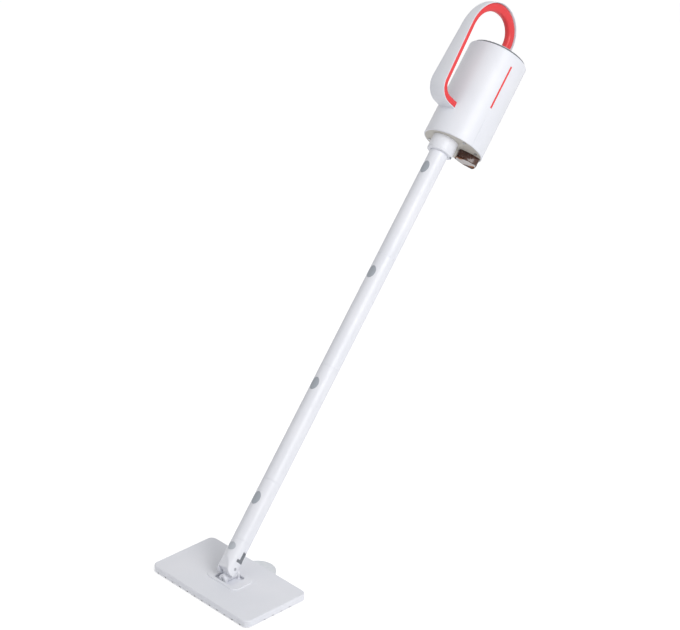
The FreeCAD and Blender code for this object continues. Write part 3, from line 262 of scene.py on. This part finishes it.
FINISHES = {
    "white_housing": moulded("white_housing", srgb(238, 239, 245), srgb(233, 235, 242), 0.38, coat=0.1),
    "grey_controls": moulded("grey_controls", srgb(172, 178, 186), srgb(163, 169, 178), 0.45),
    "red_accent": moulded("red_accent", srgb(237, 62, 66), srgb(229, 55, 60), 0.42, grain=1400.0, coat=0.1,
                          cast=srgb(205, 205, 205)),
    "tinted_tank": tinted_plastic("tank_tint", srgb(92, 52, 38), srgb(66, 37, 27), 0.2),
    "dark_plastic": moulded("dark_plastic", srgb(58, 60, 64), srgb(48, 50, 54), 0.5),
    "steel": brushed("steel", srgb(196, 198, 202), srgb(168, 170, 175), 0.3),
    "cast_aluminium": brushed("cast_aluminium", srgb(176, 178, 181), srgb(150, 153, 157), 0.5),
    "natural_plastic": moulded("natural_plastic", srgb(226, 222, 208), srgb(216, 211, 194), 0.42),
    "rubber_parts": moulded("rubber_parts", srgb(70, 72, 76), srgb(60, 62, 66), 0.7, depth=0.00004),
    "pad_cloth": woven_cloth(),
    "hook_tape": hook_tape(),
    "circuit_board": board_laminate(),
}
UNDERSIDE = moulded("underside_grey", srgb(206, 202, 194), srgb(197, 193, 185), 0.5)
NECK_BUTTON_GREY = moulded("neck_button_grey", srgb(196, 201, 208), srgb(188, 193, 201), 0.45)
# Painted shade: dark grey on the pad's edge stands in for the shade inside the notches of the head's rim.
PAD_EDGE_PAINTED_SHADE = moulded("pad_edge_painted_shade", srgb(108, 110, 115), srgb(94, 96, 101), 0.9, grain=900.0, depth=0.0001)
# Painted light: a paler copy of the tank's tint for its floor stands in for light coming through it.
TANK_FLOOR_PAINTED_LIGHT = tinted_plastic("tank_floor_painted_light", srgb(178, 128, 100), srgb(158, 110, 84), 0.0, gloss=0.0)
CATCH_GREY = moulded("catch_grey", srgb(132, 136, 142), srgb(112, 116, 122), 0.5)
# Painted shade: mid grey on the lid's side stands in for the shade that falls on it.
LID_SIDE_PAINTED_SHADE = moulded("lid_side_painted_shade", srgb(122, 126, 132), srgb(110, 114, 120), 0.6)


def dress_cad_nodes():
    """Every CAD node that stays takes the finish of its material slot."""
    for name, node in NODES.items():
        slot = node.data.materials[0].name.split(".")[0]
        node.data.materials.clear()
        own = {"body_base": UNDERSIDE, "latch_button_5": NECK_BUTTON_GREY}
        node.data.materials.append(own.get(name, FINISHES[slot]))


# ---- modelling helpers --------------------------------------------------------------
def edit_mode():
    bpy.ops.object.mode_set(mode="EDIT")


def object_mode():
    bpy.ops.object.mode_set(mode="OBJECT")


def middle(part):
    """Middle of a vertex, an edge or a face in edit mode."""
    if isinstance(part, bmesh.types.BMVert):
        return part.co
    return sum((vertex.co for vertex in part.verts), Vector()) / len(part.verts)


def pick(kind, test):
    """In edit mode, select only the parts of one kind that pass a test."""
    data = bpy.context.object.data
    bpy.ops.mesh.select_mode(type=kind)
    bpy.ops.mesh.select_all(action="DESELECT")
    mesh = bmesh.from_edit_mesh(data)
    for part in {"VERT": mesh.verts, "EDGE": mesh.edges, "FACE": mesh.faces}[kind]:
        part.select_set(bool(test(part)))
    mesh.select_flush_mode()
    bmesh.update_edit_mesh(data)


def near(place, target, slack=1e-6):
    return (place - Vector(target)).length < slack


def shift(x=0.0, y=0.0, z=0.0):
    bpy.ops.transform.translate(value=(x, y, z))


def apply_modifier(kind, **settings):
    """Add a modifier to the piece in hand and apply it at once."""
    piece = bpy.context.object
    modifier = piece.modifiers.new(kind.lower(), kind)
    for setting, value in settings.items():
        setattr(modifier, setting, value)
    bpy.ops.object.modifier_apply(modifier=modifier.name)


def soften(width, segments=3, angle=35.0):
    """Round the sharp edges of the piece in hand."""
    apply_modifier("BEVEL", width=width, segments=segments, limit_method="ANGLE",
                   angle_limit=math.radians(angle))


def settle(name, body, slot, nodes=(), upright=True, finish=None, angle=40.0):
    """Finish the piece in hand: its place, smoothness, material (the finish of its slot, unless one is given)
    and body.
    """
    piece = bpy.context.object
    piece.name = name
    bpy.ops.object.transform_apply(location=True, rotation=True, scale=True)
    if upright:
        piece.matrix_world = WAND
        bpy.ops.object.transform_apply(location=True, rotation=True, scale=True)
    bpy.ops.object.shade_smooth_by_angle(angle=math.radians(angle))
    piece.data.materials.clear()
    piece.data.materials.append(finish or FINISHES[slot])
    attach(piece, body)
    if nodes:
        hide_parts(*nodes)
    bpy.ops.object.select_all(action="DESELECT")
    return piece


def paint(piece, finish, test):
    """Give the faces that pass a test a second finish."""
    piece.data.materials.append(finish)
    bpy.context.view_layer.objects.active = piece
    edit_mode()
    pick("FACE", test)
    piece.active_material_index = 1
    bpy.ops.object.material_slot_assign()
    object_mode()


def lathe(profile, y=0.0, sides=96):
    """Round piece: a circle extruded ring by ring through (radius, height) corners."""
    radius, height = profile[0]
    bpy.ops.object.select_all(action="DESELECT")
    bpy.ops.mesh.primitive_circle_add(vertices=sides, radius=radius, location=(0, y, height))
    edit_mode()
    bpy.ops.mesh.select_all(action="SELECT")
    for next_radius, next_height in profile[1:]:
        bpy.ops.mesh.extrude_region_move(TRANSFORM_OT_translate={"value": (0, 0, next_height - height)})
        share = next_radius / radius
        bpy.ops.transform.resize(value=(share, share, 1), center_override=(0, y, next_height))
        radius, height = next_radius, next_height
    bpy.ops.mesh.select_all(action="SELECT")
    bpy.ops.mesh.remove_doubles(threshold=1e-6)
    bpy.ops.mesh.normals_make_consistent(inside=False)
    object_mode()


# ---- loop handle ------------------------------------------------------------------
def arc_steps(count, first, last):
    return [first + (last - first) * step / count for step in range(1, count + 1)]


def loop_side(reach, top, back, bend, bottom):
    """One side of the loop as (y, z) places, from the housing round to the lid."""
    start = BODY_RADIUS - ARM_SINK
    side = [(start, bottom), (reach - bend, bottom)]
    for angle in arc_steps(8, -math.pi / 2, 0.0):
        side.append((reach - bend + bend * math.cos(angle), bottom + bend + bend * math.sin(angle)))
    spring = SPRING_LINE - FRONT_DROP
    side += [(reach, bottom + bend + (spring - bottom - bend) * share) for share in (0.4, 0.8, 1.0)]
    for angle in arc_steps(24, 0.0, math.pi / 2):
        side.append((LOOP_CENTRE + (reach - LOOP_CENTRE) * math.cos(angle),
                     spring + (top - spring) * math.sin(angle)))
    for angle in arc_steps(22, math.pi / 2, math.pi):
        side.append((LOOP_CENTRE + back * math.cos(angle),
                     SPRING_LINE + (top - SPRING_LINE) * math.sin(angle)))
    side.append((LOOP_CENTRE - back, FOOT_LEVEL))
    return [(BODY_Y - reached, height) for reached, height in side]


def loop_half_width(y, z, inset):
    """Half width of the loop at a place: wide at the grip, slim over the top."""
    low, high = ARM_LEVEL + ARM_BEND, LOOP_TOP - CROWN_DROP
    share = min(max((z - low) / (high - low), 0.0), 1.0)
    if y > BODY_Y - LOOP_CENTRE:
        share = 1.0
    return GRIP_HALF + (LOOP_HALF - GRIP_HALF) * share - inset


def ribbon(outer, inner, inset):
    """Bar between two sides: a strip of faces drawn station by station, then thickened."""
    stations = [(Vector((0, *far)), Vector((0, *close))) for far, close in zip(outer, inner)]
    bpy.ops.object.select_all(action="DESELECT")
    bpy.ops.mesh.primitive_plane_add(size=1.0, rotation=(0, math.pi / 2, 0))
    bpy.ops.object.transform_apply(location=False, rotation=True, scale=False)
    edit_mode()
    for corner, target in zip(((-1, 1), (-1, -1), (1, 1), (1, -1)),
                              (stations[0][0], stations[0][1], stations[1][0], stations[1][1])):
        place = Vector((0, corner[0] / 2, corner[1] / 2))
        pick("VERT", lambda vertex: near(vertex.co, place, 1e-4))
        shift(*(target - place))
    for before, after in zip(stations[1:], stations[2:]):
        pick("VERT", lambda vertex: near(vertex.co, before[0]) or near(vertex.co, before[1]))
        bpy.ops.mesh.extrude_edges_move()
        for start, target in zip(before, after):
            mesh = bmesh.from_edit_mesh(bpy.context.object.data)
            mesh.verts.ensure_lookup_table()
            ends = list(mesh.verts)[-2:]
            pick("VERT", lambda vertex: vertex in ends and near(vertex.co, start))
            shift(*(target - start))
    bpy.ops.mesh.select_all(action="SELECT")
    bpy.ops.mesh.extrude_region_move(TRANSFORM_OT_translate={"value": (1, 0, 0)})
    pick("VERT", lambda vertex: vertex.co.x < 0.5)
    shift(-1)
    for place in [side for station in stations for side in station]:
        half = loop_half_width(place.y, place.z, inset)
        pick("VERT", lambda vertex: near(Vector((0, *vertex.co.yz)), place))
        bpy.ops.transform.resize(value=(half, 1, 1), center_override=(0, place.y, place.z))
    bpy.ops.mesh.select_all(action="SELECT")
    bpy.ops.mesh.normals_make_consistent(inside=False)


def round_lengthwise(wide, slim):
    """Round the four long edges of the bar in hand, less at the grip than over the top."""
    biggest = max(wide, slim)
    shares = {"grip": wide / biggest, "loop": slim / biggest}

    def is_long(edge):
        return abs(edge.verts[0].co.x - edge.verts[1].co.x) < 0.6 * edge.calc_length()

    def zone(edge):
        place = middle(edge)
        return "loop" if place.z > SPRING_LINE - 5 * MM or place.y > BODY_Y - LOOP_CENTRE else "grip"

    for part, share in shares.items():
        pick("EDGE", lambda edge: len(edge.link_faces) == 2 and edge.calc_face_angle() > 1.0
             and is_long(edge) and zone(edge) == part)
        bpy.ops.transform.edge_bevelweight(value=share)
    object_mode()
    apply_modifier("BEVEL", width=biggest, segments=6, limit_method="WEIGHT", use_clamp_overlap=False)


def make_handle():
    outer = loop_side(GRIP_REACH, LOOP_TOP, STRAP_BACK, ARM_BEND, ARM_LEVEL)
    core = loop_side(GRIP_REACH - STRAP_WALL, CORE_TOP, CORE_BACK, ARM_BEND - STRAP_WALL,
                     ARM_LEVEL + STRAP_WALL)
    inner = loop_side(GRIP_REACH - GRIP_THICKNESS, SPRING_LINE + LINING_RISE, LINING_BACK,
                      ARM_BEND - ARM_THICKNESS, ARM_LEVEL + ARM_THICKNESS)
    ribbon(core, inner, LINING_INSET)
    round_lengthwise(GRIP_ROUND, LINING_ROUND)
    settle("grip_lining", "unit", "red_accent", ["handle_lining"], angle=50)
    ribbon(outer, core, 0.0)
    object_mode()
    soften(0.9 * MM, 3, 40)
    settle("grip_strap", "unit", "white_housing", ["handle_shell"])


# ---- collar, lid ring and neck catch -----------------------------------------------
COLLAR_LIP = 3.2 * MM
COLLAR_WALL = 2.3 * MM
COLLAR_FIT = 0.3 * MM
COLLAR_ROUND = 0.35 * MM
RING_DEPTH = 1.0 * MM
RING_PROUD = 0.3 * MM
RING_BELOW_RIM = 0.6 * MM
RING_BELOW_TOP = 1.1 * MM


def make_collar():
    """Straight collar over the top joint, with a rounded lip at its mouth."""
    low, high = wand_box("outlet_collar")
    radius, mouth = high.x, low.z
    bore = wand_box("wand_tube_1")[1].x + COLLAR_FIT
    throat = mouth + 2 * COLLAR_LIP
    groove = mouth + COLLAR_LIP
    rounded = [(2.4 * MM, 0.0), (0.9 * MM, 0.7 * MM), (0.1 * MM, 2.0 * MM)]
    pinched = [(0.6 * MM, 0.5 * MM), (0.6 * MM, 1.0 * MM), (0.2 * MM, 1.5 * MM)]
    outside = [(radius - inset, mouth + rise) for inset, rise in rounded]
    outside += [(radius, groove)] + [(radius - inset, groove + rise) for inset, rise in pinched]
    inside = [(bore + COLLAR_WALL, high.z), (bore + COLLAR_WALL, throat), (bore, throat), (bore, mouth)]
    lathe([(bore, mouth)] + outside + [(radius - 0.4 * MM, high.z)] + inside)
    soften(COLLAR_ROUND, 3, 30)
    settle("collar", "unit", "white_housing", ["outlet_collar"])


def make_lid_ring():
    """Side of the lid, painted mid grey as painted shade, between the housing's rim and the pale top."""
    cap_high = wand_box("top_cap")[1]
    inner, outer = cap_high.x - RING_DEPTH, cap_high.x + RING_PROUD
    seat, top = BODY_TOP - RING_BELOW_RIM, cap_high.z - RING_BELOW_TOP
    lathe([(inner, seat), (outer, seat), (outer, top), (inner, top), (inner, seat)], BODY_Y, 128)
    settle("lid_ring", "unit", "grey_controls", finish=LID_SIDE_PAINTED_SHADE)


TOOTH_TURN = math.radians(118)
TOOTH_REACH = 24.2 * MM
TOOTH_SIZE = (6 * MM, 2.4 * MM, 3.4 * MM)


def make_collar_tooth():
    """Small grey tooth of the catch that shows below the collar's mouth."""
    mouth = wand_box("outlet_collar")[0].z
    bpy.ops.object.select_all(action="DESELECT")
    bpy.ops.mesh.primitive_cube_add(size=1.0, location=(0, -TOOTH_REACH, mouth - 0.2 * MM), scale=TOOTH_SIZE)
    bpy.ops.object.transform_apply(location=True, rotation=True, scale=True)
    soften(0.6 * MM, 3, 40)
    bpy.context.object.rotation_euler = (0, 0, TOOTH_TURN)
    settle("collar_tooth", "unit", "grey_controls", finish=CATCH_GREY)


CATCH_TURN = math.radians(106)
CATCH_SIZE = (9.4 * MM, 3.2 * MM)
CATCH_BAR = (19 * MM, 4.6 * MM)
CATCH_LOW = 13.4 * MM
CATCH_TOP = 34.2 * MM
CATCH_SINK = 1.9 * MM
CATCH_BAR_SWEEP = 2.2 * MM
CATCH_HEAD_DROP = 3.4 * MM
CATCH_RIM = 1.5 * MM
CATCH_DISH = 0.7 * MM


def make_neck_catch():
    """T-shaped grey catch in the recess at the side of the neck."""
    radius = wand_box("neck_fork")[1].x
    wide, deep = CATCH_SIZE
    half_bar = CATCH_BAR[0] / 2
    stem_low = CATCH_LOW + CATCH_BAR[1]
    bpy.ops.object.select_all(action="DESELECT")
    bpy.ops.mesh.primitive_cube_add(size=1.0, location=(0, -radius + CATCH_SINK, (stem_low + CATCH_TOP) / 2),
                                    scale=(wide, deep, CATCH_TOP - stem_low))
    bpy.ops.object.transform_apply(location=True, rotation=True, scale=True)
    edit_mode()
    pick("FACE", lambda face: face.normal.z < -0.9)
    bpy.ops.mesh.extrude_region_move(TRANSFORM_OT_translate={"value": (0, 0, CATCH_LOW - stem_low)})
    for side in (-1, 1):
        pick("FACE", lambda face: face.normal.x * side > 0.9 and middle(face).z < stem_low)
        reach = side * (half_bar - wide / 2)
        bpy.ops.mesh.extrude_region_move(TRANSFORM_OT_translate={"value": (reach, CATCH_BAR_SWEEP, 0)})
    pick("FACE", lambda face: face.normal.z > 0.9 and middle(face).z > stem_low + 1 * MM)
    bpy.ops.mesh.extrude_region_move(TRANSFORM_OT_translate={"value": (0, 0.2 * MM, -CATCH_HEAD_DROP)})
    pick("FACE", lambda face: face.normal.y < -0.9 and middle(face).z > stem_low)
    bpy.ops.mesh.inset(thickness=CATCH_RIM)
    shift(0, CATCH_DISH, 0)
    object_mode()
    soften(0.5 * MM, 2, 40)
    bpy.context.object.rotation_euler = (0, 0, CATCH_TURN)
    settle("neck_catch", "unit", "grey_controls", finish=CATCH_GREY)


# ---- water tank -------------------------------------------------------------------
TANK_TURN = math.radians(146)
TANK_INNER = 14 * MM
TANK_MARGIN = 3.7 * MM
TANK_INNER_HALF = 8 * MM
TANK_MIDDLE_HALF = 15.5 * MM
TANK_OUTER_HALF = 12.5 * MM
TANK_WALL = 2 * MM
TANK_CORNER = 3 * MM
SIDE_STEPS = 12


def tank_outline():
    """Plan of the tank as (x, y) places: two bowed sides and a bowed outer wall."""
    outer, inner = BODY_RADIUS - TANK_MARGIN, TANK_INNER
    side = []
    for step in range(SIDE_STEPS + 1):
        share = step / SIDE_STEPS
        half = (TANK_INNER_HALF * (1 - share) * (1 - 2 * share) + TANK_MIDDLE_HALF * 4 * share * (1 - share)
                + TANK_OUTER_HALF * share * (2 * share - 1))
        reach = min(inner + (outer - inner) * share, math.sqrt(outer ** 2 - half ** 2))
        side.append((half, reach))
    half, reach = side[-1]
    wall = [(half * (1 - 2 * step / SIDE_STEPS), 0.0) for step in range(1, SIDE_STEPS)]
    wall = [(x, math.sqrt(outer ** 2 - x ** 2)) for x, _ in wall]
    outline = side + wall + [(-x, far) for x, far in reversed(side)]
    return [(x, -far) for x, far in outline]


def outline_face(corners, level):
    """Face with a given plan: a filled circle whose corners are moved one by one."""
    bpy.ops.object.select_all(action="DESELECT")
    bpy.ops.mesh.primitive_circle_add(vertices=len(corners), radius=1.0, fill_type="NGON")
    starts = [vertex.co.copy() for vertex in bpy.context.object.data.vertices]
    edit_mode()
    for start, corner in zip(starts, corners):
        pick("VERT", lambda vertex: near(vertex.co, start, 1e-4))
        shift(*(Vector((*corner, level)) - start))
    bpy.ops.mesh.select_all(action="SELECT")


def raise_face(rise):
    bpy.ops.mesh.extrude_region_move(TRANSFORM_OT_translate={"value": (0, 0, rise)})
    bpy.ops.mesh.select_all(action="SELECT")
    bpy.ops.mesh.normals_make_consistent(inside=False)


def round_corners(width):
    """Round the upright edges where the plan turns sharply."""
    pick("EDGE", lambda edge: len(edge.link_faces) == 2 and edge.calc_face_angle() > 0.6
         and abs(edge.verts[0].co.z - edge.verts[1].co.z) > 0.9 * edge.calc_length())
    bpy.ops.mesh.bevel(offset=width, segments=4)


def make_tank():
    """Tinted tank, lens-shaped in plan and open at the top, its underside a paler copy of the tint as painted
    light coming through the floor.
    """
    low, high = wand_box("water_tank")
    outline_face(tank_outline(), low.z)
    raise_face(high.z - low.z)
    round_corners(TANK_CORNER)
    pick("FACE", lambda face: face.normal.z > 0.9)
    bpy.ops.mesh.delete(type="FACE")
    object_mode()
    bpy.context.object.location = (0, BODY_Y, 0)
    bpy.context.object.rotation_euler = (0, 0, TANK_TURN)
    soften(0.9 * MM, 3, 40)
    apply_modifier("SOLIDIFY", thickness=TANK_WALL, offset=-1.0)
    tank = settle("tank_shell", "tank", "tinted_tank", ["water_tank"])
    # The floor's faces take the paler painted-light copy of the tint.
    paint(tank, TANK_FLOOR_PAINTED_LIGHT, lambda face: face.normal.dot(WAND_Z) < -0.9)


# ---- mop pad ----------------------------------------------------------------------
PAD_CORNER = 9.4 * MM
TAB_THICKNESS = 2.2 * MM
PAD_VOXEL = 1.6 * MM


def make_pad():
    """Flat cloth pad under the head, with a half-round pull tab and its edge painted dark grey as painted
    shade for the notches of the head's rim.
    """
    low, high = extent([vertex.co for vertex in NODES["mop_pad"].data.vertices])
    half_y, radius = -low.y, high.y + low.y
    bpy.ops.object.select_all(action="DESELECT")
    bpy.ops.mesh.primitive_cylinder_add(vertices=96, radius=radius, depth=TAB_THICKNESS,
                                        location=(0, half_y, low.z + TAB_THICKNESS / 2))
    tab = bpy.context.object
    bpy.ops.mesh.primitive_cube_add(size=1.0, location=(0, 0, (low.z + high.z) / 2),
                                    scale=(high.x - low.x, 2 * half_y, high.z - low.z))
    bpy.ops.object.transform_apply(location=True, rotation=True, scale=True)
    edit_mode()
    pick("EDGE", lambda edge: abs(edge.verts[0].co.z - edge.verts[1].co.z) > 1 * MM)
    bpy.ops.mesh.bevel(offset=PAD_CORNER, segments=8)
    object_mode()
    tab.select_set(True)
    bpy.ops.object.join()
    apply_modifier("REMESH", mode="VOXEL", voxel_size=PAD_VOXEL)
    pad = settle("pad_cloth", "head", "pad_cloth", ["mop_pad"], upright=False, angle=60)
    # The pad's side faces, but not the tab's, take the dark grey painted shade.
    paint(pad, PAD_EDGE_PAINTED_SHADE, lambda face: abs(face.normal.z) < 0.5 and middle(face).y < half_y + 1 * MM)


def squash_springs():
    """Each latch spring gets a mesh of its own."""
    for name in sorted(NODES):
        if not name.startswith("latch_spring_"):
            continue
        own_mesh(NODES[name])


def make_pieces():
    make_handle()
    make_collar()
    make_collar_tooth()
    make_lid_ring()
    make_neck_catch()
    make_tank()
    make_pad()
    squash_springs()


# ---- stage, light and camera ------------------------------------------------------
CAMERA_PLACE = (2.59973, -2.34410, 2.26080)
CAMERA_YAW = math.radians(-44.974)
CAMERA_PITCH = math.radians(-26.101)
CAMERA_ROLL = math.radians(2.034)
SENSOR_WIDTH = 36.0
LENS = 121.76


def make_camera():
    data = bpy.data.cameras.new("camera")
    data.sensor_width = SENSOR_WIDTH
    data.lens = LENS
    data.clip_end = 60.0
    camera = bpy.data.objects.new("camera", data)
    bpy.context.scene.collection.objects.link(camera)
    ahead = Vector((math.sin(CAMERA_YAW) * math.cos(CAMERA_PITCH),
                    math.cos(CAMERA_YAW) * math.cos(CAMERA_PITCH), math.sin(CAMERA_PITCH)))
    level = Vector((math.cos(CAMERA_YAW), -math.sin(CAMERA_YAW), 0.0))
    raised = level.cross(ahead)
    right = math.cos(CAMERA_ROLL) * level + math.sin(CAMERA_ROLL) * raised
    up = math.cos(CAMERA_ROLL) * raised - math.sin(CAMERA_ROLL) * level
    camera.matrix_world = Matrix.Translation(CAMERA_PLACE) @ Matrix((right, up, -ahead)).transposed().to_4x4()
    bpy.context.scene.camera = camera


FLOOR_GLOW = 0.56
WORLD_LEVEL = 0.42
AIM = (cad_low + cad_high) / 2


def seen_directly(tree):
    """1 for rays from the camera, and for mirrored or refracted ones, else 0."""
    path = tree.nodes.new("ShaderNodeLightPath")
    total = path.outputs["Is Camera Ray"]
    for kind in ("Is Glossy Ray", "Is Transmission Ray"):
        more = tree.nodes.new("ShaderNodeMath")
        more.operation = "MAXIMUM"
        tree.links.new(total, more.inputs[0])
        tree.links.new(path.outputs[kind], more.inputs[1])
        total = more.outputs[0]
    return total


def make_floor():
    """Plain pale floor. To the camera it is lifted to white, and it keeps the shadow."""
    bpy.ops.object.select_all(action="DESELECT")
    bpy.ops.mesh.primitive_plane_add(size=60.0)
    floor = bpy.context.object
    floor.name = "floor"
    surface = Finish("floor_paper", Roughness=0.9)
    tone = surface.mix(surface.spread(surface.noise(0.6), 0.0, 1.0), srgb(244, 244, 245), srgb(240, 240, 242))
    surface.finish(tone)
    glow = surface.add("Emission", Color=(1, 1, 1, 1), Strength=FLOOR_GLOW)
    both = surface.tree.nodes.new("ShaderNodeAddShader")
    mixed = surface.add("MixShader", Fac=seen_directly(surface.tree))
    surface.link(surface.shader.outputs[0], both.inputs[0])
    surface.link(glow.outputs[0], both.inputs[1])
    surface.link(surface.shader.outputs[0], mixed.inputs[1])
    surface.link(both.outputs[0], mixed.inputs[2])
    surface.link(mixed.outputs[0], surface.tree.nodes["Material Output"].inputs["Surface"])
    floor.data.materials.append(surface.material)


def area_lamp(name, away, size, power):
    """Soft square lamp at an offset from the object's middle, turned towards it."""
    data = bpy.data.lights.new(name, "AREA")
    data.shape = "SQUARE"
    data.size = size
    data.energy = power
    lamp = bpy.data.objects.new(name, data)
    bpy.context.scene.collection.objects.link(lamp)
    lamp.location = AIM + Vector(away)
    lamp.rotation_mode = "QUATERNION"
    lamp.rotation_quaternion = (-Vector(away)).to_track_quat("-Z", "Y")


def make_light():
    area_lamp("key", (2.6, -0.3, 2.0), 2.0, 62.0)
    area_lamp("fill", (-1.0, -3.4, 2.2), 3.0, 14.0)
    world = bpy.data.worlds.new("studio")
    bpy.context.scene.world = world
    world.use_nodes = True
    background = world.node_tree.nodes["Background"]
    background.inputs["Color"].default_value = (1.0, 1.0, 1.0, 1.0)
    level = world.node_tree.nodes.new("ShaderNodeMapRange")
    level.inputs["To Min"].default_value = WORLD_LEVEL
    level.inputs["To Max"].default_value = 1.0
    world.node_tree.links.new(seen_directly(world.node_tree), level.inputs["Value"])
    world.node_tree.links.new(level.outputs["Result"], background.inputs["Strength"])


# ---- the whole object -------------------------------------------------------------
dress_cad_nodes()
make_pieces()
make_floor()
make_light()
make_camera()
bpy.context.scene.view_settings.view_transform = "Standard"
